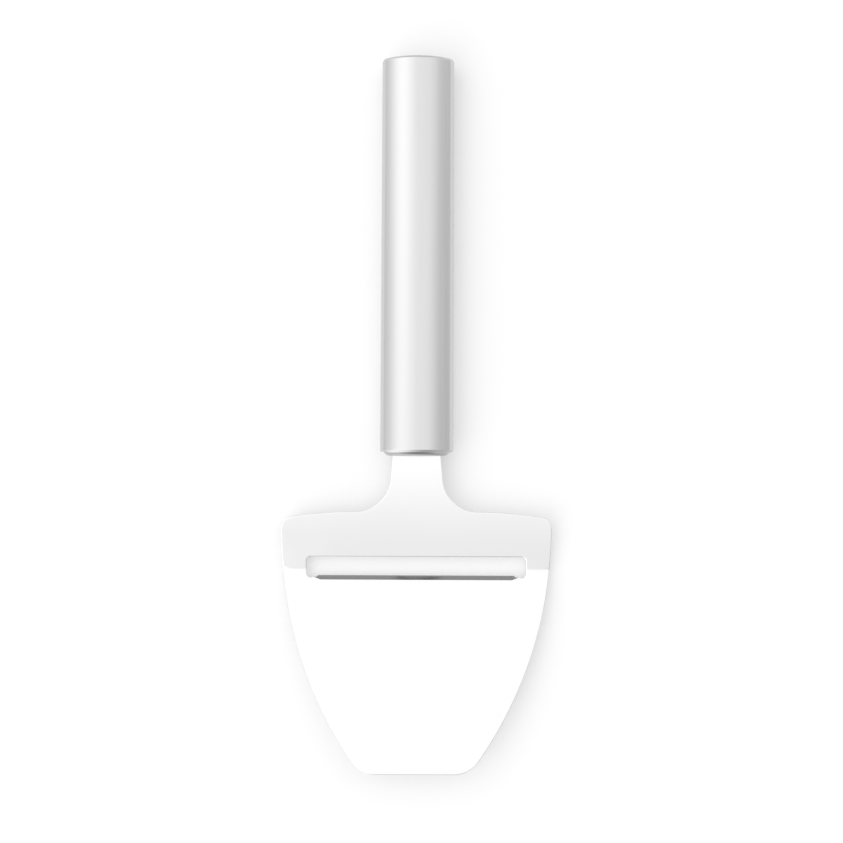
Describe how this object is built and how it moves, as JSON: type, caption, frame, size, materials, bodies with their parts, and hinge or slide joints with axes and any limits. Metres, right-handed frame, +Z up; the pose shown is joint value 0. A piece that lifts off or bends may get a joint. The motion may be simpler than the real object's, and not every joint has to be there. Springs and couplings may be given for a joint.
{
  "type": "cheese slicer",
  "caption": "Cheese slicer: a bent, tapering stainless steel blade with a slicing slot and ground cutting lip, its tang held in an oval brushed steel tube handle.",
  "frame": {"origin": "centre of the bounding box's base, on the table that the handle lies on", "axes": "+Y along the handle, from the blade's tip to the handle's butt; +Z up from the table; X = 0 is the plane of symmetry"},
  "size_m": [0.0888, 0.2352, 0.013],
  "materials": {
    "polished_steel": "mirror-polished stainless steel sheet",
    "brushed_steel": "stainless steel tube, drawn oval and satin brushed along its length",
    "satin_steel": "pressed stainless steel, satin",
    "core_plastic": "moulded polypropylene, dark grey",
    "pin_steel": "centreless-ground steel pin"
  },
  "bodies": {
    "root": {"blade": "polished_steel", "handle_tube": "brushed_steel", "front_cap": "satin_steel", "end_cap": "satin_steel", "core_upper": "core_plastic", "core_lower": "core_plastic", "tang_pin_front": "pin_steel", "tang_pin_rear": "pin_steel"}
  },
  "joints": []
}
